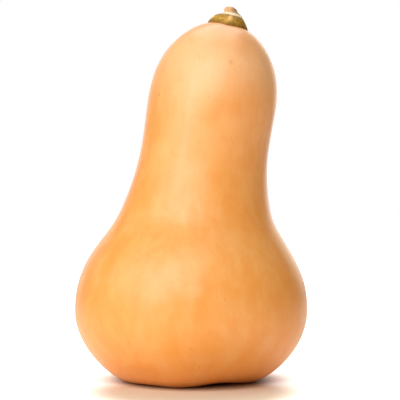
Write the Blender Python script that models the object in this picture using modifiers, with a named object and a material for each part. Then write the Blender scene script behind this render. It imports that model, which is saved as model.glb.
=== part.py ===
"""Butternut squash, as picked, standing on its blossom end.

Two pieces: the fruit, one closed solid, and the woody stem that clasps its crown.
Run it with: blender --background --python part.py

Metres, +Z up. The origin is on the surface the squash stands on, under the middle of the bulb.
+X is the side that the neck leans to, and -Y is the front.
"""

import math

import bpy
from mathutils import Matrix, Vector
from mathutils.geometry import interpolate_bezier

# Driving dimensions of the fruit.
FRUIT_HEIGHT = 0.2016
BULB_RADIUS = 0.0653
BULB_HEIGHT = 0.0395  # where the bulb is widest
WAIST_RADIUS = 0.0416
WAIST_HEIGHT = 0.0970  # where the shoulder turns from hollow to bulging
WAIST_SLOPE = math.radians(73.0)  # below the horizontal
NECK_RADIUS = 0.0361
CROWN_HEIGHT = 0.1527  # where the neck starts to close into the crown
FOOT_RADIUS = 0.0305  # ring of lobes that the squash stands on
DIMPLE_HEIGHT = 0.0025  # the blossom scar sits this far up, inside the ring

# How the neck bends away from the bulb's axis.
LEAN_ASIDE = 0.0151
LEAN_BACK = 0.0030
LEAN_START = 0.0640
LEAN_END = 0.1950

# The furrows between the five lobes: direction in degrees, depth, and half width in degrees.
FURROWS = (
    (-62.0, 0.0028, 30.0),
    (13.0, 0.0016, 22.0),
    (84.0, 0.0016, 22.0),
    (156.0, 0.0016, 22.0),
    (-127.0, 0.0011, 20.0),
)
FURROW_TOP = 0.0750  # the furrows fade out up to this height
FLUTE_SHARE = 0.2  # what is left of a furrow on the neck
PRESSED_FLAT = 0.0009  # the lobes stand on small flat patches

# The crown is fuller on the side away from the stem, and the bulb a little flatter under it.
# For each: its middle, its reach, and how far the surface stands out there.
SWELLS = (
    (Vector((-0.028, 0.000, 0.184)), 0.020, 0.0015),
    (Vector((-0.055, -0.010, 0.013)), 0.018, -0.0009),
)

# The stem, measured along its own axis.
STEM_ASIDE = 0.0054  # from the middle of the crown to the middle of the stem
STEM_TILT = math.radians(13.0)
STEM_FOOT_RADIUS = 0.0116
STEM_LENGTH = 0.0115
STEM_RIDGES = 5
STEM_RIDGE_SHARE = 0.09  # height of a ridge, as a share of the radius
FRONT_RIDGE = math.radians(-88.0)
STEM_GAP = 0.0003  # clearance between the stem and the crown

FRUIT_STEPS = 60
STEM_STEPS = 50
CROWN_STEPS = 12
MERGE = 0.00001

RIND_COLOUR = (0.86, 0.47, 0.16, 1.0)
STEM_COLOUR = (0.36, 0.22, 0.06, 1.0)


def clear_scene():
    for thing in list(bpy.data.objects):
        bpy.data.objects.remove(thing)


def eased(value, low, high):
    """0 up to low, 1 from high on, and a smooth step between them."""
    share = min(max((value - low) / (high - low), 0.0), 1.0)
    return share * share * (3.0 - 2.0 * share)


def stretch(start, start_pull, end_pull, end, points):
    """Points along one Bezier stretch of an outline. A pull is the offset from an end to its handle."""
    start, end = Vector(start), Vector(end)
    return interpolate_bezier(start, start + Vector(start_pull), end + Vector(end_pull), end, points)


def crown_rise(distance):
    """Height of the crown's surface at this distance from its middle."""
    share = min(distance / NECK_RADIUS, 1.0)
    return CROWN_HEIGHT + (FRUIT_HEIGHT - CROWN_HEIGHT) * math.sqrt(1.0 - share * share)


def fruit_outline():
    """(radius, height) from the top of the crown down to the blossom scar."""
    crown = []
    for step in range(CROWN_STEPS):
        radius = NECK_RADIUS * math.sin(0.5 * math.pi * step / CROWN_STEPS)
        crown.append((radius, crown_rise(radius)))
    crown_foot = (NECK_RADIUS, CROWN_HEIGHT)
    waist = (WAIST_RADIUS, WAIST_HEIGHT)
    waist_slope = Vector((math.cos(WAIST_SLOPE), -math.sin(WAIST_SLOPE)))
    widest = (BULB_RADIUS, BULB_HEIGHT)
    foot = (FOOT_RADIUS, 0.0)
    scar = (0.0, DIMPLE_HEIGHT)
    neck = stretch(crown_foot, (0.0, -0.0160), -waist_slope * 0.0255, waist, 10)
    shoulder = stretch(waist, waist_slope * 0.0185, (0.0, 0.0300), widest, 10)
    belly = stretch(widest, (0.0, -0.0190), (0.0170, 0.0), foot, 12)
    blossom_end = stretch(foot, (-0.0080, 0.0), (0.0090, 0.0), scar, 7)
    return crown + [tuple(p) for p in neck[:-1] + shoulder[:-1] + belly[:-1] + blossom_end]


def turned(name, outline, steps):
    """A closed mesh turned about Z from a (radius, height) outline that runs down its outer side."""
    mesh = bpy.data.meshes.new(name)
    points = [(radius, 0.0, height) for radius, height in outline]
    mesh.from_pydata(points, [(i, i + 1) for i in range(len(points) - 1)], [])
    profile = bpy.data.objects.new(name + "_profile", mesh)
    bpy.context.scene.collection.objects.link(profile)
    screw = profile.modifiers.new("Turn", "SCREW")
    screw.steps = steps
    screw.render_steps = steps
    screw.use_merge_vertices = True
    screw.merge_threshold = MERGE
    graph = bpy.context.evaluated_depsgraph_get()
    solid = bpy.data.meshes.new_from_object(profile.evaluated_get(graph))
    bpy.data.objects.remove(profile)
    bpy.data.meshes.remove(mesh)
    solid.name = name
    return solid


def turn_from(point, degrees):
    """The angle about Z from this direction to the point's, between -pi and pi."""
    return math.remainder(math.atan2(point.y, point.x) - math.radians(degrees), 2.0 * math.pi)


def furrow_depth(point):
    """How deep the furrows are in the point's direction, where they are deepest."""
    depths = [
        depth * math.exp(-((turn_from(point, direction) / math.radians(half_width)) ** 2))
        for direction, depth, half_width in FURROWS
    ]
    return sum(depths)


def swell_rise(point):
    """How far the surface stands out at the point, because of the uneven swells."""
    return sum(
        amount * math.exp(-(((point - middle).length / reach) ** 2))
        for middle, reach, amount in SWELLS
    )


def lobed(point):
    """The point sunk into the furrows and moved out with the swells."""
    inwards = Vector((0.0, 0.0, max(point.z, BULB_HEIGHT))) - point
    radius = math.hypot(point.x, point.y)
    if radius < MERGE:
        return point
    off_scar = eased(radius, 0.0, FOOT_RADIUS)
    under = 1.0 - eased(point.z, 0.0, FURROW_TOP)
    below_crown = 1.0 - eased(point.z, CROWN_HEIGHT, FRUIT_HEIGHT)
    depth = furrow_depth(point) * (under + FLUTE_SHARE * below_crown) * off_scar
    return point + inwards.normalized() * (depth - swell_rise(point))


def drawn_to_stem(point):
    """The point slid over the crown, so that the fruit's growth lines meet under the stem."""
    share = eased(point.z, CROWN_HEIGHT, FRUIT_HEIGHT)
    if share == 0.0:
        return point
    moved = Vector((point.x + STEM_ASIDE * share, point.y, 0.0))
    before = crown_rise(math.hypot(point.x, point.y))
    moved.z = point.z + crown_rise(moved.length) - before
    return moved


def leant(point):
    """The point moved aside with the neck, which leans and then straightens into the crown."""
    share = eased(point.z, LEAN_START, LEAN_END)
    return point + Vector((LEAN_ASIDE * share, LEAN_BACK * share, 0.0))


def stood(point):
    """The point pressed up where a lobe stands on the surface below."""
    return Vector((point.x, point.y, max(point.z, PRESSED_FLAT) - PRESSED_FLAT))


def make_fruit():
    mesh = turned("fruit", fruit_outline(), FRUIT_STEPS)
    for vertex in mesh.vertices:
        vertex.co = stood(leant(drawn_to_stem(lobed(vertex.co))))
    return mesh


def stem_outline():
    """(radius, height along the stem's axis) from its cut end down to the middle of its underside."""
    foot = STEM_FOOT_RADIUS
    length = STEM_LENGTH
    cut_end = [(0.0, length - 0.0007), (0.0018, length - 0.0005), (0.0026, length)]
    stub = [(0.0033, length - 0.0008), (0.0036, 0.0092), (0.0041, 0.0083)]
    collar = [(0.0050, 0.0076), (0.0060, 0.0068)]
    flare = [(0.0077, 0.0056), (0.0093, 0.0039), (0.0107, 0.0020), (foot, 0.0004)]
    underside = [(foot * 0.985, -0.001), (foot * 0.66, -0.001), (foot * 0.33, -0.001), (0.0, -0.001)]
    return cut_end + stub + collar + flare + underside


def ridged(point):
    """The point drawn out along the stem's ridges, which are strongest at its foot."""
    angle = math.atan2(point.y, point.x) - FRONT_RIDGE
    share = STEM_RIDGE_SHARE * (1.0 - 0.6 * eased(point.z, 0.0, STEM_LENGTH))
    factor = 1.0 + share * (math.cos(STEM_RIDGES * angle) - 1.0) * 0.5
    return Vector((point.x * factor, point.y * factor, point.z))


def stem_place():
    """Where the stem's axis starts, level with the crown under its rim, and the axis's tilt."""
    reach = STEM_FOOT_RADIUS * math.cos(STEM_TILT)
    level = 0.5 * (crown_rise(STEM_ASIDE - reach) + crown_rise(STEM_ASIDE + reach))
    height = level - PRESSED_FLAT + STEM_GAP
    place = Matrix.Translation((LEAN_ASIDE + STEM_ASIDE, LEAN_BACK, height))
    return place @ Matrix.Rotation(STEM_TILT, 4, "Y")


def fitted_to_crown(point):
    """A point of the stem's underside, moved to just above the crown."""
    distance = math.hypot(point.x - LEAN_ASIDE, point.y - LEAN_BACK)
    return Vector((point.x, point.y, crown_rise(distance) - PRESSED_FLAT + STEM_GAP))


def make_stem():
    mesh = turned("stem", stem_outline(), STEM_STEPS)
    place = stem_place()
    for vertex in mesh.vertices:
        underneath = vertex.co.z < 0.0
        vertex.co = place @ ridged(vertex.co)
        if underneath:
            vertex.co = fitted_to_crown(vertex.co)
    return mesh


def rough_material(name, colour, roughness):
    material = bpy.data.materials.new(name)
    material.use_nodes = True
    shader = material.node_tree.nodes["Principled BSDF"]
    shader.inputs["Base Color"].default_value = colour
    shader.inputs["Roughness"].default_value = roughness
    shader.inputs["Metallic"].default_value = 0.0
    return material


def add_piece(name, mesh, collection, material):
    mesh.materials.append(material)
    mesh.shade_smooth()
    collection.objects.link(bpy.data.objects.new(name, mesh))


def centre_on_origin(meshes):
    """Moves the meshes together, so that the middle of their shared box is over the origin."""
    corners = [vertex.co for mesh in meshes for vertex in mesh.vertices]
    middle = [0.5 * (min(c[axis] for c in corners) + max(c[axis] for c in corners)) for axis in (0, 1)]
    for mesh in meshes:
        mesh.transform(Matrix.Translation((-middle[0], -middle[1], 0.0)))


def main():
    clear_scene()
    squash = bpy.data.collections.new("butternut_squash")
    bpy.context.scene.collection.children.link(squash)
    fruit = make_fruit()
    stem = make_stem()
    centre_on_origin([fruit, stem])
    add_piece("fruit", fruit, squash, rough_material("rind", RIND_COLOUR, 0.42))
    add_piece("stem", stem, squash, rough_material("stem", STEM_COLOUR, 0.60))


main()
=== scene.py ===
# %% [markdown]
# # A butternut squash
#
# A butternut squash is a berry that grew round a seed hollow: a broad bulb below, a long solid
# neck above it, and a woody stem that clasps the crown. Only two things can be told apart from
# outside, the fruit and the stem, so there are two pieces here.
#
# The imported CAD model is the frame. It gives the true size and place of each piece, and both
# pieces are made again in finer detail around it.

# %% Load the frame
import math

import bmesh
import bpy
from mathutils import Matrix, Vector, noise
from mathutils.geometry import interpolate_bezier


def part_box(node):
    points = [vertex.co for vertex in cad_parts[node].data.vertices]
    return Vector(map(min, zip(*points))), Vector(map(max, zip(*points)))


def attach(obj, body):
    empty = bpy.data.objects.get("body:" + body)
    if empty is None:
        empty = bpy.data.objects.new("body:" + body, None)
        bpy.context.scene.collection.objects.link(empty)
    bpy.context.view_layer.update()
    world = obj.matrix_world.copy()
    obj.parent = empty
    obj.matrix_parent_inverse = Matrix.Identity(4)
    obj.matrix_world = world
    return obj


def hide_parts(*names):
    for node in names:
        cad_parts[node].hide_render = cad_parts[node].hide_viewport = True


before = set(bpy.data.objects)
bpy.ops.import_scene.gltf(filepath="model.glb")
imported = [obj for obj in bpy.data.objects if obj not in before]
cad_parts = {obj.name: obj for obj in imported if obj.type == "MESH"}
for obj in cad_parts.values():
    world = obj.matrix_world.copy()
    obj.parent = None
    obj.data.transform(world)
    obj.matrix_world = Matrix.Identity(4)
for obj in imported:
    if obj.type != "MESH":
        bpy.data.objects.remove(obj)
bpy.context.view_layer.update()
fruit_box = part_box("fruit")
stem_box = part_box("stem")

# %% [markdown]
# ## The outline of the fruit
#
# Cut lengthways, half of the fruit is one flowing line: over the crown, down the neck, out over
# the shoulder of the bulb, round its belly and in to the scar of the flower. It could be lofted
# from many rings, but a line that is turned about the axis is simpler and stays smooth, and the
# bends of a real fruit can be put in afterwards.
#
# The crown is a quarter of an ellipse. The rest is a chain of Bezier stretches, each given by its
# two ends and by how strongly the line is pulled away from them. All lengths are in metres.

# %% Dimensions of the fruit
FRUIT_HEIGHT = 0.2016
NECK_RADIUS = 0.0361
CROWN_HEIGHT = 0.1527  # where the neck starts to close into the crown
WAIST = Vector((0.0416, 0.0970))  # where the shoulder turns from hollow to bulging
WAIST_SLOPE = math.radians(73.0)  # below the horizontal
WIDEST = Vector((0.0653, 0.0395))
FOOT_RADIUS = 0.0305  # ring of lobes that the squash stands on
DIMPLE_HEIGHT = 0.0025  # the blossom scar sits this far up, inside the ring


def eased(value, low, high):
    """0 up to low, 1 from high on, and a smooth step between them."""
    share = min(max((value - low) / (high - low), 0.0), 1.0)
    return share * share * (3.0 - 2.0 * share)


def crown_rise(distance):
    """Height of the crown's surface at this distance from its middle."""
    share = min(distance / NECK_RADIUS, 1.0)
    return CROWN_HEIGHT + (FRUIT_HEIGHT - CROWN_HEIGHT) * math.sqrt(1.0 - share * share)


def stretch(start, start_pull, end_pull, end, points):
    """Points along one Bezier stretch. A pull is the offset from an end to its handle."""
    start, end = Vector(start), Vector(end)
    start_handle = start + Vector(start_pull)
    end_handle = end + Vector(end_pull)
    return interpolate_bezier(start, start_handle, end_handle, end, points)


print(f"the fruit is {FRUIT_HEIGHT * 1000:.0f} mm tall and {WIDEST.x * 2000:.0f} mm across")


# %% [markdown]
# The outline is drawn with many points, because the turned mesh gets one ring of faces for each of
# them.

# %% Draw the outline
CROWN_POINTS = 50
STRETCH_POINTS = 62
BLOSSOM_END_POINTS = 34


def fruit_outline():
    """(radius, height) from the top of the crown down to the blossom scar."""
    crown = []
    for step in range(CROWN_POINTS):
        radius = NECK_RADIUS * math.sin(0.5 * math.pi * step / CROWN_POINTS)
        crown.append(Vector((radius, crown_rise(radius))))
    crown_foot = (NECK_RADIUS, CROWN_HEIGHT)
    slope = Vector((math.cos(WAIST_SLOPE), -math.sin(WAIST_SLOPE)))
    foot = (FOOT_RADIUS, 0.0)
    scar = (0.0, DIMPLE_HEIGHT)
    neck = stretch(crown_foot, (0.0, -0.0160), -slope * 0.0255, WAIST, STRETCH_POINTS)
    shoulder = stretch(WAIST, slope * 0.0185, (0.0, 0.0300), WIDEST, STRETCH_POINTS)
    belly = stretch(WIDEST, (0.0, -0.0190), (0.0170, 0.0), foot, STRETCH_POINTS)
    blossom_end = stretch(foot, (-0.0080, 0.0), (0.0090, 0.0), scar, BLOSSOM_END_POINTS)
    return crown + neck[:-1] + shoulder[:-1] + belly[:-1] + blossom_end


outline = fruit_outline()
outline_length = sum((after - before).length for before, after in zip(outline, outline[1:]))
print(f"outline: {len(outline)} points, {outline_length * 1000:.0f} mm long")

# %% [markdown]
# ## Turning a piece
#
# Both pieces grew round an axis, so both start as a line of vertices that `spin` carries once
# round it. A full turn needs `use_merge`, which joins the last line to the first. The ends of the
# line lie on the axis, where `spin` leaves a whole ring of vertices in one spot, so doubles are
# merged and the normals worked out again after that.
#
# Each vertex also keeps where it grew: the cosine and sine of its direction, and its distance
# along the outline. The finishes read this, so that their streaks run along the fruit however it
# bends.

# %% A turned mesh that remembers its growth
TINY = 1e-6  # a distance shorter than this counts as none


def turned(points, steps):
    """A closed bmesh turned about Z from (radius, height) points that run down its outer side."""
    mesh = bmesh.new()
    growth = mesh.verts.layers.float_vector.new("growth")
    line = [mesh.verts.new((radius, 0.0, height)) for radius, height in points]
    edges = [mesh.edges.new(pair) for pair in zip(line, line[1:])]
    distance = 0.0
    for before, vertex in zip([line[0]] + line, line):
        distance += (vertex.co - before.co).length
        vertex[growth] = (1.0, 0.0, distance)
    bmesh.ops.spin(
        mesh,
        geom=line + edges,
        cent=(0, 0, 0),
        axis=(0, 0, 1),
        angle=math.tau,
        steps=steps,
        use_merge=True,
    )
    bmesh.ops.remove_doubles(mesh, verts=mesh.verts, dist=TINY)
    bmesh.ops.recalc_face_normals(mesh, faces=mesh.faces)
    for vertex in mesh.verts:
        radius = math.hypot(vertex.co.x, vertex.co.y)
        if radius > TINY:
            x, y = vertex.co.x / radius, vertex.co.y / radius
        else:
            x, y = 0.0, 0.0
        vertex[growth] = (x, y, vertex[growth].z)
    return mesh


# %% [markdown]
# ## The shape that growing gives the fruit
#
# No squash is a perfect turning. Five lobes, one for each part of the flower, show as shallow
# furrows under the bulb. The neck leans to one side, the crown is fuller away from the stem, and
# the whole skin is very slightly uneven, which is what breaks up the shine.
#
# These could be sculpted by hand. Here each is a small function that takes a point of the turned
# mesh and gives it back moved, because then the fruit is the same each time the script runs. Their
# order matters: the crown is slid towards the stem while it is still a smooth ellipse, because a
# slide over its swells would dent it.

# %% Furrows and swells
FURROWS = (  # direction in degrees, depth, half width in degrees
    (-62.0, 0.0028, 30.0),
    (13.0, 0.0016, 22.0),
    (84.0, 0.0016, 22.0),
    (156.0, 0.0016, 22.0),
    (-127.0, 0.0011, 20.0),
)
FURROW_TOP = 0.0750  # the furrows fade out up to this height
FLUTE_SHARE = 0.2  # what is left of a furrow on the neck
SWELLS = (  # middle, reach, how far the surface stands out
    (Vector((-0.028, 0.000, 0.182)), 0.021, 0.0022),
    (Vector((-0.055, -0.010, 0.013)), 0.018, -0.0009),
)
UNEVENNESS = ((0.034, 0.00045), (0.013, 0.00012))  # size of the bumps, height of the bumps
UNEVEN_SQUASH = 0.55  # less than 1 draws the bumps out along the fruit
EVEN_RADIUS = 0.012  # the swells fade out this near to the axis


def furrow_depth(point):
    """How deep the furrows are in the point's direction, where they are deepest."""
    depth = 0.0
    for direction, deepest, half_width in FURROWS:
        turn = math.remainder(math.atan2(point.y, point.x) - math.radians(direction), math.tau)
        depth += deepest * math.exp(-((turn / math.radians(half_width)) ** 2))
    return depth


def swell_rise(point):
    """How far the skin stands out at the point, because of the swells and its unevenness."""
    rise = sum(
        amount * math.exp(-(((point - middle).length / reach) ** 2))
        for middle, reach, amount in SWELLS
    )
    tall = Vector((point.x, point.y, point.z * UNEVEN_SQUASH))
    for size, height in UNEVENNESS:
        rise += height * noise.noise(tall / size)
    return rise


def lobed(point):
    """The point sunk into the furrows and moved out with the swells."""
    radius = math.hypot(point.x, point.y)
    inwards = Vector((0.0, 0.0, max(point.z, WIDEST.y))) - point
    off_scar = eased(radius, 0.0, FOOT_RADIUS)
    under = 1.0 - eased(point.z, 0.0, FURROW_TOP)
    below_crown = 1.0 - eased(point.z, CROWN_HEIGHT, FRUIT_HEIGHT)
    depth = furrow_depth(point) * (under + FLUTE_SHARE * below_crown) * off_scar
    rise = swell_rise(point) * eased(radius, 0.0, EVEN_RADIUS)
    return point + inwards.normalized() * (depth - rise)


print(f"{len(FURROWS)} furrows, the deepest {max(row[1] for row in FURROWS) * 1000:.1f} mm")

# %% [markdown]
# Three more moves follow. The crown slides towards the stem, the neck leans, and the lobes are
# pressed flat where they stand, as the weight of the fruit does.

# %% The lean of the neck and the way the fruit stands
LEAN_ASIDE = 0.0151
LEAN_BACK = 0.0030
LEAN_START = 0.0640
LEAN_END = 0.1950
PRESSED_FLAT = 0.0009  # the lobes stand on flats pressed this far up
STEM_ASIDE = 0.0054  # from the middle of the crown to the middle of the stem


def drawn_to_stem(point):
    """The point slid over the crown, so that the growth lines meet under the stem."""
    share = eased(point.z, CROWN_HEIGHT, FRUIT_HEIGHT)
    moved = Vector((point.x + STEM_ASIDE * share, point.y, point.z))
    if share > 0.0:
        before = crown_rise(math.hypot(point.x, point.y))
        moved.z += crown_rise(math.hypot(moved.x, moved.y)) - before
    return moved


def leant(point):
    """The point moved aside with the neck, which leans and then straightens into the crown."""
    share = eased(point.z, LEAN_START, LEAN_END)
    return point + Vector((LEAN_ASIDE * share, LEAN_BACK * share, 0.0))


def stood(point):
    """The point pressed up where a lobe stands on the surface below."""
    return Vector((point.x, point.y, max(point.z, PRESSED_FLAT) - PRESSED_FLAT))


print(f"the neck leans {LEAN_ASIDE * 1000:.1f} mm aside and {LEAN_BACK * 1000:.1f} mm back")

# %% [markdown]
# Under the bulb, where the flower was, a corky button is left in the dimple, with a narrow groove
# round it. It is too small to be worth a piece of its own, so the skin is moved there.

# %% The blossom scar
SCAR_RADIUS = 0.0055
SCAR_BULGE = 0.0007  # how far the corky button stands out of the dimple
GROOVE_RADIUS = 1.15 * SCAR_RADIUS
GROOVE_WIDTH = 0.0012
GROOVE_DEPTH = 0.0004
CRUMB_HEIGHT = 0.00016
CRUMBS_PER_METRE = 1500.0


def scarred(point):
    """The point raised into the corky button that the flower left under the bulb."""
    radius = math.hypot(point.x, point.y)
    if point.z > WIDEST.y or radius > 2.0 * SCAR_RADIUS:
        return point
    button = 1.0 - eased(radius, 0.55 * SCAR_RADIUS, SCAR_RADIUS)
    groove = math.exp(-(((radius - GROOVE_RADIUS) / GROOVE_WIDTH) ** 2))
    crumbs = CRUMB_HEIGHT * noise.noise(point * CRUMBS_PER_METRE)
    lift = -SCAR_BULGE * button + GROOVE_DEPTH * groove + crumbs * button
    return point + Vector((0.0, 0.0, lift))


print(f"blossom scar: {2.0 * SCAR_RADIUS * 1000:.0f} mm across")

# %% [markdown]
# ## Putting the fruit in its place
#
# The frame says where the middle of the whole squash stands. The fruit's own box is measured after
# it has taken its shape, and the mesh is moved so that the two agree. The object itself stays at
# the origin.

# %% Make the fruit
FRUIT_STEPS = 256


def finished(mesh, name):
    """An object with this bmesh, smooth, at the origin, with its place in its mesh."""
    data = bpy.data.meshes.new(name)
    mesh.to_mesh(data)
    mesh.free()
    data.shade_smooth()
    piece = bpy.data.objects.new(name, data)
    bpy.context.scene.collection.objects.link(piece)
    print(f"{name}: {len(data.vertices)} vertices, {len(data.polygons)} faces")
    return piece


def middle_of(mesh, axis):
    """The middle of the mesh's box along one axis."""
    places = [vertex.co[axis] for vertex in mesh.verts]
    return 0.5 * (min(places) + max(places))


fruit_mesh = turned(outline, FRUIT_STEPS)
for vertex in fruit_mesh.verts:
    vertex.co = stood(leant(lobed(drawn_to_stem(scarred(vertex.co)))))
axis_place = Vector((
    0.5 * (fruit_box[0][0] + fruit_box[1][0]) - middle_of(fruit_mesh, 0),
    0.5 * (fruit_box[0][1] + fruit_box[1][1]) - middle_of(fruit_mesh, 1),
    0.0,
))
bmesh.ops.translate(fruit_mesh, verts=fruit_mesh.verts, vec=axis_place)
fruit = finished(fruit_mesh, "squash_fruit")
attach(fruit, "root")
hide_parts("fruit")
print("the bulb's axis stands at", [round(value * 1000, 2) for value in axis_place], "mm")

# %% [markdown]
# ## The stem
#
# When a squash is picked, the stalk dries and most of it breaks away. What stays is a domed foot
# with five ridges, which clasps the crown, a pale cracked collar round the top of it, and a short
# stub.
#
# It is turned from its own outline. A few corners are enough to draw it, and cutting the corners
# off three times over makes them a smooth line.

# %% The outline of the stem
STEM_TILT = math.radians(13.0)
STEM_FOOT_RADIUS = 0.0118
STUB_FOOT = 0.0078  # the stub starts this far up the stem
STEM_LENGTH = 0.0115
CORNER_ROUNDS = 3


def rounded(points, rounds):
    """The same line with its corners cut off, this many times over."""
    for _ in range(rounds):
        cut = [points[0]]
        for before, after in zip(points, points[1:]):
            cut += [before.lerp(after, 0.25), before.lerp(after, 0.75)]
        points = cut + [points[-1]]
    return points


# Each corner is (radius, height along the stem's axis).
stub_end = [(0.0, 0.0112), (0.0011, STEM_LENGTH), (0.0021, 0.0114), (0.0030, 0.0109)]
stub = [(0.0035, 0.0102), (0.0038, 0.0095), (0.0044, 0.0088)]
collar = [(0.0048, 0.0082), (0.0052, 0.0077), (0.0058, 0.0072), (0.0060, 0.0067)]
dome = [(0.0066, 0.0065), (0.0079, 0.0058), (0.0095, 0.0042), (0.0109, 0.0021)]
rim = [(STEM_FOOT_RADIUS, 0.0004), (0.0118, -0.0003), (0.0109, -0.0008)]
underside = [(0.0070, -0.0010), (0.0035, -0.0010), (0.0, -0.0010)]
stem_corners = [Vector(corner) for corner in stub_end + stub + collar + dome + rim + underside]
stem_outline = rounded(stem_corners, CORNER_ROUNDS)
print(f"stem outline: {len(stem_outline)} points")

# %% [markdown]
# Ridges, fibres and cracks are moves of the points again. The ridges are strongest at the foot.
# The stub has fine fibres along it and a ragged end, and the collar is broken up by small cracks.

# %% Shape the stem
RIDGES = 5
RIDGE_SHARPNESS = 1.4
FRONT_RIDGE = math.radians(-88.0)  # the direction of one of them
FOOT_VALLEY = 0.055  # how deep the valleys are, as a share of the radius
STUB_VALLEY = 0.07
COLLAR_VALLEY = 0.03
COLLAR_HEIGHT = 0.0071
COLLAR_REACH = 0.0006
FIBRE_STRETCH = 90.0  # how fast the fibres change along the stem
FIBRES = ((3.1, 0.0, 0.00016), (9.0, 7.0, 0.00007))  # how many, their shift, their height
CRACK_DEPTH = 0.00025
RAGGED = 0.0003  # unevenness of the broken end


def ridge(point):
    """1 along the crest of a ridge and 0 in the valley between two."""
    angle = math.atan2(point.y, point.x) - FRONT_RIDGE
    return (0.5 + 0.5 * math.cos(RIDGES * angle)) ** RIDGE_SHARPNESS


def grown(point):
    """The point drawn out along the ridges, with fibres and cracks, and the stub bent back."""
    radius = math.hypot(point.x, point.y)
    if radius < TINY:
        return point
    outwards = Vector((point.x / radius, point.y / radius, 0.0))
    on_foot = 1.0 - eased(point.z, 0.001, 0.0066)
    on_collar = math.exp(-(((point.z - COLLAR_HEIGHT) / COLLAR_REACH) ** 2))
    on_stub = eased(point.z, STUB_FOOT, 0.0088)
    share = -FOOT_VALLEY * on_foot - STUB_VALLEY * on_stub - COLLAR_VALLEY * on_collar
    move = radius * share * (1.0 - ridge(point))
    around = Vector((outwards.x, outwards.y, point.z * FIBRE_STRETCH))
    for count, shift, height in FIBRES:
        move += height * noise.noise(around * count + Vector((shift, 0.0, 0.0)))
    crack = max(0.0, noise.noise(around * 6.0 + Vector((0.0, 5.0, 0.0))))
    move -= CRACK_DEPTH * on_collar * crack
    ragged = RAGGED * eased(point.z, 0.0100, STEM_LENGTH) * noise.noise(outwards * 1.6)
    aside = 0.0012 * eased(point.z, 0.0050, STUB_FOOT) - 0.0016 * eased(point.z, 0.0072, 0.0098)
    bent = Vector((aside - 0.0002, 0.0, ragged))
    return point + outwards * move * eased(radius, 0.0, 0.002) + bent


print(f"{RIDGES} ridges, with valleys of {FOOT_VALLEY * 100:.1f} percent of the radius")

# %% [markdown]
# The stem stands beside the middle of the crown and is tilted the way the crown slopes. A hollow
# underside that fits the crown could be drawn, but it is simpler to keep each point of the stem
# from going below the skin.

# %% The seat of the stem on the crown
SUNK = 0.0002  # the rim is grown into the crown by this much
reach = STEM_FOOT_RADIUS * math.cos(STEM_TILT)
level = 0.5 * (crown_rise(STEM_ASIDE - reach) + crown_rise(STEM_ASIDE + reach))
stem_seat = Matrix.Translation((LEAN_ASIDE + STEM_ASIDE, LEAN_BACK, level - PRESSED_FLAT))
stem_place = stem_seat @ Matrix.Rotation(STEM_TILT, 4, "Y")


def seated(point):
    """The point kept from going deeper than the crown's skin, less what is grown in."""
    distance = math.hypot(point.x - LEAN_ASIDE, point.y - LEAN_BACK)
    deepest = crown_rise(distance) - PRESSED_FLAT - SUNK
    return Vector((point.x, point.y, max(point.z, deepest)))


print(f"the stem's axis starts {stem_seat.translation.z * 1000:.2f} mm up")

# %% [markdown]
# Before it is moved, each vertex of the stem keeps two more values for the finish: how near it is
# to the crest of a ridge, and how far up the stem it is.

# %% Make the stem
STEM_STEPS = 160
stem_mesh = turned(stem_outline, STEM_STEPS)
crest_layer = stem_mesh.verts.layers.float.new("crest")
rise_layer = stem_mesh.verts.layers.float.new("rise")
for vertex in stem_mesh.verts:
    vertex[crest_layer] = ridge(vertex.co)
    vertex[rise_layer] = vertex.co.z
    vertex.co = seated(stem_place @ grown(vertex.co)) + axis_place
stem = finished(stem_mesh, "squash_stem")
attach(stem, "root")
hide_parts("stem")
stem_box_mm = [[round(value * 1000, 1) for value in corner] for corner in stem_box]
print("stem box in the frame, mm:", stem_box_mm)

# %% [markdown]
# ## Writing a finish as sums
#
# A procedural finish is mostly arithmetic on patterns. Written as nodes it takes many lines, so
# one small class wraps the output of a node: adding, taking away or multiplying two of them adds
# the Math node that does it. A second class holds the material. Its `node` makes any kind of node,
# from its settings and from what goes into its sockets, and the other methods are short names for
# the kinds that are used often.

# %% The class for values and the class for a finish
class Value:
    """A number or colour in a finish, held as the socket that it comes out of."""

    def __init__(self, finish, socket):
        self.finish = finish
        self.socket = socket

    def math(self, operation, *others):
        """The Math node that does this to the value, with the others in its next sockets."""
        inputs = dict(enumerate((self, *others)))
        return self.finish.node("ShaderNodeMath", {"operation": operation}, inputs)

    def __add__(self, other):
        return self.math("ADD", other)

    def __mul__(self, other):
        return self.math("MULTIPLY", other)

    def __sub__(self, other):
        return self.math("SUBTRACT", other)

    def __rsub__(self, other):
        return self.finish.node("ShaderNodeMath", {"operation": "SUBTRACT"}, {0: other, 1: self})

    __radd__ = __add__
    __rmul__ = __mul__

    def between(self, low, high):
        """0 below low, 1 above high, and a smooth step between them."""
        settings = {"interpolation_type": "SMOOTHSTEP"}
        inputs = {"Value": self, "From Min": low, "From Max": high}
        return self.finish.node("ShaderNodeMapRange", settings, inputs)


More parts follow.
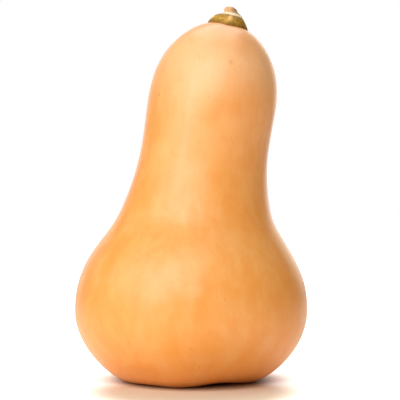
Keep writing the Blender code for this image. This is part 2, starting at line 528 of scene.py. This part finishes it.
class Finish:
    """The nodes of a material, or of the room, and the methods that add nodes to them."""

    def __init__(self, owner, shader="Principled BSDF"):
        owner.use_nodes = True
        self.owner = owner
        self.tree = owner.node_tree
        self.shader = self.tree.nodes[shader]

    def node(self, kind, settings=None, inputs=None, output=0):
        """The output of a new node of any kind."""
        made = self.tree.nodes.new(kind)
        for name, setting in (settings or {}).items():
            setattr(made, name, setting)
        self.fill(made, inputs or {})
        return Value(self, made.outputs[output])

    def fill(self, made, inputs):
        """Links values to a node's sockets, or sets the sockets to plain numbers."""
        for name, value in inputs.items():
            if isinstance(value, Value):
                self.tree.links.new(value.socket, made.inputs[name])
            else:
                made.inputs[name].default_value = value

    def mix(self, amount, first, second):
        """The first colour, and the second one where the amount is 1."""
        settings = {"data_type": "RGBA"}
        return self.node("ShaderNodeMix", settings, {0: amount, 6: first, 7: second}, output=2)

    def stretched(self, place, scale, shift=(0.0, 0.0, 0.0)):
        """The place with a pattern's scale and shift put on it."""
        inputs = {"Vector": place, "Scale": scale, "Location": shift}
        return self.node("ShaderNodeMapping", {}, inputs)

    def distance(self, place, middle):
        """How far the place is from a fixed point."""
        settings = {"operation": "DISTANCE"}
        return self.node("ShaderNodeVectorMath", settings, {0: place, 1: middle}, output="Value")

    def cells(self, place, scale):
        """The distance to the middle of the nearest of many scattered cells."""
        settings = {"feature": "F1"}
        inputs = {"Vector": place, "Scale": scale}
        return self.node("ShaderNodeTexVoronoi", settings, inputs, output="Distance")

    def attribute(self, name, output):
        """A value that each vertex of the piece keeps."""
        return self.node("ShaderNodeAttribute", {"attribute_name": name}, output=output)

    def bump(self, strength, depth, height):
        """A normal that is tilted by a relief of this depth."""
        inputs = {"Strength": strength, "Distance": depth, "Height": height}
        return self.node("ShaderNodeBump", {}, inputs, output="Normal")

    def clouds(self, place, scale, detail=2.0, roughness=0.5, distortion=0.0):
        """Soft noise between 0 and 1."""
        inputs = {
            "Vector": place,
            "Scale": scale,
            "Detail": detail,
            "Roughness": roughness,
            "Distortion": distortion,
        }
        return self.node("ShaderNodeTexNoise", {}, inputs)


def shade(red, green, blue):
    """A colour given as it looks on a screen, 0 to 255, as the shader needs it."""
    def straight(part):
        part /= 255.0
        return part / 12.92 if part <= 0.04045 else ((part + 0.055) / 1.055) ** 2.4

    return (straight(red), straight(green), straight(blue), 1.0)


print("half grey, as a shader needs it:", round(shade(128, 128, 128)[0], 3))

# %% [markdown]
# ## The rind
#
# The skin of a ripe butternut is a thin waxy layer over orange flesh. It is never one colour: soft
# peach and deeper orange patches are drawn out along the fruit, finer streaks run through them,
# and a few rubbed marks and specks sit on top. The skin is paler towards the crown, partly with
# painted light from above, and deeper orange under the bulb, partly with painted shade and orange
# bounce light.
#
# The patches and streaks read the growth that each vertex kept. The direction is a unit circle
# there, so a pattern on it has no seam, and each streak gets wider where the fruit does, as it
# does on a real one. The blush, the flecks and the grain are as round and as wide everywhere, so
# they read the place on the piece instead.

# %% Patterns of the rind
rind = Finish(bpy.data.materials.new("rind"))
grown_at = rind.attribute("growth", "Vector")
at = rind.node("ShaderNodeTexCoord", {}, output="Object")
along = rind.node("ShaderNodeSeparateXYZ", {}, {0: grown_at}, output="Z")

broad_place = rind.stretched(grown_at, (1.6, 1.6, 16.0))
patch_place = rind.stretched(grown_at, (4.5, 4.5, 45.0), (3.0, 1.0, 0.0))
fleck_place = rind.stretched(at, (170.0, 170.0, 110.0), (0.0, 2.0, 1.0))
blush_place = rind.stretched(at, (82.0, 82.0, 58.0), (5.0, 1.0, 3.0))
streak_place = rind.stretched(grown_at, (40.0, 40.0, 60.0), (0.0, 4.0, 2.0))
hairline_place = rind.stretched(grown_at, (120.0, 120.0, 90.0))

broad = rind.clouds(broad_place, 1.0, 2.0, 0.5, 0.4)
patches = rind.clouds(patch_place, 1.0, 3.0, 0.5, 0.3)
flecks = rind.clouds(fleck_place, 1.0, 3.0, 0.55, 0.3)
blush = rind.clouds(blush_place, 1.0, 3.0, 0.55, 0.3)
streaks = rind.clouds(streak_place, 1.0, 2.0, 0.6)
hairlines = rind.clouds(hairline_place, 1.0, 1.0, 0.5)
grain = rind.clouds(at, 1400.0, 2.0, 0.6)
pores = rind.cells(at, 620.0)
print(f"rind: {len(rind.tree.nodes)} nodes of patterns")

# %% [markdown]
# The colours are laid over each other like thin washes of paint, the broadest first. Apricot and
# peach are the ground. A duller tan grows towards the crown. A pale band a little below the stem
# is partly the skin's paler crown and partly painted light from above, and it stops short of the
# stem as painted shade from the stem's foot. The underside of the bulb is a stronger orange,
# partly painted shade and orange bounce light. The blush makes soft pale and deep clouds over
# that, and the thin streaks come last.
#
# Where a band starts and ends is given by how far along the outline it is, in metres from the top
# of the crown.

# %% Colours of the rind
# The cream is partly painted light from above, and the orange for the underside is partly painted
# shade and orange bounce light.
cream_and_painted_light = shade(250, 204, 156)
peach = shade(238, 168, 90)
apricot = shade(236, 153, 68)
neck_tan = shade(229, 159, 99)
orange_and_painted_bounce = shade(246, 149, 36)
pale_blush = shade(243, 179, 112)
deep_blush = shade(228, 140, 48)
ochre = shade(208, 128, 44)

mottle = patches.between(0.34, 0.66)
drift = broad.between(0.30, 0.70)
towards_crown = 1.0 - along.between(0.02, 0.15)
# A pale band below the stem: partly the skin's own paler crown, partly painted light from above,
# fading out next to the stem as painted shade from its foot.
pale_band_and_painted_light = along.between(0.016, 0.040) * (1.0 - along.between(0.036, 0.072))
# The stronger orange under the bulb: partly the skin's own colour, partly painted shade and orange
# bounce light.
under_bulb_and_painted_shade = along.between(0.15, 0.25)
pale_clouds = blush.between(0.48, 0.66)
deep_clouds = 1.0 - blush.between(0.34, 0.50)

ground = mottle * 0.46 + drift * 0.26 + flecks.between(0.38, 0.62) * 0.28
colour = rind.mix(ground, apricot, peach)
WASHES = (  # where, how strong, colour
    (towards_crown, 0.68, neck_tan),
    (pale_band_and_painted_light, 0.46, cream_and_painted_light),
    (under_bulb_and_painted_shade, 0.55, orange_and_painted_bounce),
    (pale_clouds, 0.28, pale_blush),
    (deep_clouds, 0.17, deep_blush),
    (streaks.between(0.46, 0.78), 0.11, ochre),
    (hairlines.between(0.55, 0.72), 0.06, ochre),
    (grain.between(0.42, 0.70), 0.14, ochre),
)
for mask, strength, tint in WASHES:
    colour = rind.mix(mask * strength, colour, tint)
print(f"{len(WASHES)} washes of colour over the ground")

# %% [markdown]
# Small marks lie on top of everything: pinprick specks all over, seven rubbed marks, and the brown
# cork of the blossom scar in the dimple under the bulb. A rubbed mark is a round spot at a place
# on the skin, and the flecks and the grain wear its edge.

# %% Marks on the rind
specks = rind.cells(at, 95.0)
speck_mask = (1.0 - specks.between(0.035, 0.085)) * patches.between(0.48, 0.62)
colour = rind.mix(speck_mask * 0.35, colour, shade(176, 104, 52))

RUBBED_MARKS = (  # place, radius, strength, colour
    ((-0.0176, -0.0178, 0.1586), 0.0013, 0.45, shade(150, 92, 44)),
    ((0.0138, -0.0354, 0.1343), 0.0014, 0.30, shade(214, 106, 60)),
    ((0.0216, -0.0282, 0.1757), 0.0024, 0.28, shade(170, 108, 56)),
    ((0.0262, -0.0262, 0.1730), 0.0014, 0.28, shade(170, 108, 56)),
    ((-0.0330, -0.0500, 0.0560), 0.0016, 0.30, shade(176, 108, 50)),
    ((0.0300, 0.0350, 0.1500), 0.0022, 0.40, shade(160, 100, 50)),
    ((-0.0500, 0.0350, 0.0520), 0.0026, 0.35, shade(170, 108, 56)),
)
for place, radius, strength, tint in RUBBED_MARKS:
    worn = rind.distance(at, place) + (flecks + grain * 0.5) * radius
    mark = 1.0 - worn.between(0.9 * radius, 1.9 * radius)
    colour = rind.mix(mark * strength, colour, tint)

from_scar = rind.distance(at, (axis_place.x, axis_place.y, DIMPLE_HEIGHT))
cork = 1.0 - (from_scar + grain * 0.0016).between(0.0048, 0.0066)
cork_colour = rind.mix(grain, shade(120, 84, 48), shade(176, 138, 92))
colour = rind.mix(cork * 0.9, colour, cork_colour)
print(f"{len(RUBBED_MARKS)} rubbed marks")

# %% [markdown]
# The skin is waxed by nature: satin below, with a soft coat of wax on top that gives the broad
# shine. The relief is a tenth of a millimetre deep. It could be in the mesh, but a Bump node needs
# no more faces for it.

# %% Gloss and relief of the rind
rind_roughness = 0.40 + flecks * 0.08 + streaks * 0.05 + cork * 0.35
relief = streaks * 0.3 + hairlines * 0.22 + pores.between(0.0, 0.42) * 0.5 + grain * 0.18
rind.fill(rind.shader, {
    "Base Color": colour,
    "Roughness": rind_roughness,
    "Specular IOR Level": 0.40,
    "Coat Weight": 0.50,
    "Coat Roughness": 0.24,
    "Normal": rind.bump(0.35, 0.00012, relief),
})
fruit.data.materials.append(rind.owner)
print(f"rind: {len(rind.tree.nodes)} nodes")

# %% [markdown]
# ## The finish of the stem
#
# The dried foot is olive and gold, with fine fibres running down it. A highlight is painted along
# the crest of each ridge, and shade is painted in dark brown at the rim, where the foot meets the
# crown, and just under the collar. The collar is pale cork, and the stub is pinkish tan wood.
#
# Three finishes on three pieces would leave hard seams. Here it is one finish that changes with
# the height up the stem, and the noise moves the place where it changes, so that the borders are
# ragged.

# %% Patterns of the stem
bark = Finish(bpy.data.materials.new("stem"))
stem_growth = bark.attribute("growth", "Vector")
crest = bark.attribute("crest", "Fac")
rise = bark.attribute("rise", "Fac")
stem_at = bark.node("ShaderNodeTexCoord", {}, output="Object")
olive_and_painted_shade_side = bark.node("ShaderNodeSeparateXYZ", {}, {0: stem_growth}, output="X")

fibres = bark.clouds(bark.stretched(stem_growth, (14.0, 14.0, 220.0)), 1.0, 3.0, 0.6, 0.3)
blotches = bark.clouds(stem_at, 420.0, 3.0, 0.55)
crumbs = bark.clouds(stem_at, 2600.0, 2.0, 0.6)
print(f"stem finish: {len(bark.tree.nodes)} nodes of patterns")

# %% [markdown]
# Each part of the stem gets its own colour first. The side that faces +X, away from the lights on
# the left, is darker on the foot and on the stub: painted shade, partly the bark's greyer olive.

# %% Colours of the stem
foot = bark.mix(blotches.between(0.32, 0.68), shade(152, 112, 28), shade(206, 156, 58))
# Painted shade: the foot is darker on its +X side, away from the lights, partly with the bark's
# own olive.
foot = bark.mix(olive_and_painted_shade_side.between(-0.2, 0.9) * 0.55, foot, shade(122, 88, 14))
# A painted highlight along the crest of each ridge, low on the foot.
painted_crest_highlight = crest.between(0.72, 1.0) * rise.between(0.0015, 0.0042)
foot = bark.mix(painted_crest_highlight * 0.8, foot, shade(240, 196, 124))
foot = bark.mix(fibres.between(0.50, 0.80) * 0.45, foot, shade(98, 70, 16))
wood = bark.mix(fibres.between(0.35, 0.7), shade(232, 180, 124), shade(180, 134, 92))
# Painted shade on the +X side of the stub too, partly the wood's greyer olive.
wood = bark.mix(olive_and_painted_shade_side.between(-0.3, 0.8) * 0.75, wood, shade(148, 122, 80))
cork_ring = bark.mix(crumbs.between(0.45, 0.7), shade(246, 228, 190), shade(206, 168, 120))

above_dome = (rise + blotches * 0.0008).between(0.0068, 0.0072)
above_collar = (rise + fibres * 0.0008).between(0.0081, 0.0087)
# Painted shade in dark brown: at the rim where the foot meets the crown, and just under the
# collar.
painted_rim_shade = 1.0 - rise.between(-0.0004, 0.0030)
painted_brow_shade = rise.between(0.0052, 0.0066) * 0.5
stem_colour = bark.mix(painted_rim_shade * 0.7 + painted_brow_shade, foot, shade(92, 54, 10))
stem_colour = bark.mix(above_dome, stem_colour, cork_ring)
stem_colour = bark.mix(above_collar, stem_colour, wood)

stem_relief = fibres * 0.9 + blotches * 0.5 + crumbs * 0.35
bark.fill(bark.shader, {
    "Base Color": stem_colour,
    "Roughness": 0.50 + crumbs * 0.25,
    "Specular IOR Level": 0.30,
    "Normal": bark.bump(0.6, 0.00035, stem_relief),
})
stem.data.materials.append(bark.owner)
print(f"stem finish: {len(bark.tree.nodes)} nodes")

# %% [markdown]
# ## Floor, light and camera
#
# The squash stands on a plain white floor with a slight sheen. A floor that is lit by lamps alone
# never comes out as an even white, so this one glows. The glow is left out round the squash and in
# a patch just in front of it, where only the light that falls there is left, so the shape of the
# soft shade that the squash stands in is painted. Its tan is painted as well: the floor's own
# colour stands in for the warm light that the orange skin throws down. Where the lobes touch, a
# brown contact shadow is painted into the floor's colour. Light rays see less of the glow than the
# camera does, so that the floor doesn't light the squash from below too much.

# %% The floor
FLOOR_REACH = 4.0  # from the middle to each side
floor_mesh = bmesh.new()
bmesh.ops.create_grid(floor_mesh, x_segments=1, y_segments=1, size=FLOOR_REACH)
floor = finished(floor_mesh, "floor")
paper = Finish(bpy.data.materials.new("white_floor"))
floor_at = paper.node("ShaderNodeTexCoord", {}, output="Object")
seen = paper.node("ShaderNodeLightPath", {}, output="Is Camera Ray")


def clear_of(place, dark, light):
    """0 up to one distance from a place on the floor, and 1 from the other on."""
    return paper.distance(floor_at, place).between(dark, light)


BLACK = (0.0, 0.0, 0.0, 1.0)
WHITE = (1.0, 1.0, 1.0, 1.0)
# Painted colours of the floor: a brown contact shadow where the lobes touch, and a tan that stands
# in for the warm light thrown down by the orange skin.
PAINTED_CONTACT_SHADOW = (0.62, 0.44, 0.27, 1.0)
PAINTED_WARM_BOUNCE = (0.83, 0.71, 0.55, 1.0)
GLOW_FOR_LIGHT = 0.37  # what light rays see of the glow
# The glow is left out round the bulb and in a patch in front of it, which paints the shape of the
# shade there.
off_the_painted_round_shadow = clear_of((0.001, 0.0, 0.0), 0.038, 0.066)
off_the_painted_front_shadow = clear_of((0.002, -0.047, 0.0), 0.040, 0.073)
# The painted contact shadow where the lobes touch.
off_the_painted_contact_shadow = clear_of((0.004, -0.004, 0.0), 0.034, 0.047)
shown = GLOW_FOR_LIGHT + seen * (1.0 - GLOW_FOR_LIGHT)
glow = off_the_painted_round_shadow.math("MINIMUM", off_the_painted_front_shadow) * shown
paper.fill(paper.shader, {
    "Base Color": paper.mix(off_the_painted_contact_shadow, PAINTED_CONTACT_SHADOW, PAINTED_WARM_BOUNCE),
    "Roughness": 0.45,
    "Specular IOR Level": 0.08,
    "Emission Color": paper.mix(glow, BLACK, WHITE),
    "Emission Strength": 1.0,
})
floor.data.materials.append(paper.owner)
print(f"floor: {2.0 * FLOOR_REACH:.0f} m across, {len(paper.tree.nodes)} nodes")

# %% [markdown]
# Four soft lights stand in front. Three of them are on the left, where they draw the broad shine
# down the neck, so the far side falls into a warm shade. One stands behind on the right and is
# tinted like an evening sun, which warms that edge, and one hangs above.

# %% The lights
LIGHTS_AIM = Vector((0.0, 0.0, 0.10))  # the middle of the squash


def soft_light(name, azimuth, elevation, distance, width, height, power, tint=(1.0, 1.0, 1.0)):
    """A rectangular light that faces the squash. Azimuth 0 is the front and 90 is +X."""
    data = bpy.data.lights.new(name, "AREA")
    data.shape = "RECTANGLE"
    data.size = width
    data.size_y = height
    data.energy = power
    data.color = tint
    light = bpy.data.objects.new(name, data)
    turn, lift = math.radians(azimuth), math.radians(elevation)
    level_part = math.cos(lift)
    away = Vector((math.sin(turn) * level_part, -math.cos(turn) * level_part, math.sin(lift)))
    light.location = away * distance + LIGHTS_AIM
    light.rotation_euler = away.to_track_quat("Z", "Y").to_euler()
    bpy.context.scene.collection.objects.link(light)
    print(f"{name}: {power} W from {azimuth:.0f} round and {elevation:.0f} up")


soft_light("key_left", -30.0, 30.0, 1.2, 0.6, 1.0, 6.0)
soft_light("key_strip", -42.0, 15.0, 1.2, 0.34, 1.2, 3.2)
soft_light("side_left", -65.0, 28.0, 1.2, 0.6, 1.0, 3.4)
soft_light("front", 0.0, 35.0, 1.2, 0.6, 1.0, 5.4)
soft_light("rim_right", 152.0, 28.0, 1.2, 0.8, 1.2, 2.3, (1.0, 0.80, 0.55))
soft_light("top", 180.0, 72.0, 1.1, 0.9, 0.9, 7.0)

# %% [markdown]
# Behind the squash stands a bright white backdrop, and the side that the camera is on is dim. The
# backdrop is what draws the thin light edges on both sides of the fruit. The camera itself sees
# plain white all round.

# %% The room
DIM_SIDE = 0.06
BACKDROP = 1.25
world = bpy.data.worlds.new("white_room")
bpy.context.scene.world = world
room = Finish(world, "Background")
towards = room.node("ShaderNodeTexCoord", {}, output="Generated")
behind = room.node("ShaderNodeSeparateXYZ", {}, {0: towards}, output="Y").between(0.70, 0.96)
in_view = room.node("ShaderNodeLightPath", {}, output="Is Camera Ray")
room.fill(room.shader, {
    "Color": WHITE,
    "Strength": in_view + (1.0 - in_view) * (DIM_SIDE + behind * BACKDROP),
})
bpy.context.scene.view_settings.view_transform = "Standard"
print(f"room: {len(room.tree.nodes)} nodes")

# %% [markdown]
# The camera stands 0.8 m in front with a long lens, a little above the middle of the squash, and
# looks straight along +Y and very slightly down. From so far away the squash keeps its true
# proportions.

# %% The camera
LENS = 128.6
CAMERA_DISTANCE = 0.80
camera_data = bpy.data.cameras.new("camera")
camera_data.lens = LENS
camera_data.sensor_width = 36.0
camera_data.clip_start = 0.01
camera = bpy.data.objects.new("camera", camera_data)
aim = Vector((axis_place.x + 0.0048, axis_place.y, 0.1007))
camera.location = (aim.x, aim.y - CAMERA_DISTANCE, 0.1090)
camera.rotation_euler = (camera.location - aim).to_track_quat("Z", "Y").to_euler()
bpy.context.scene.collection.objects.link(camera)
bpy.context.scene.camera = camera
print("camera at", [round(value, 4) for value in camera.location])
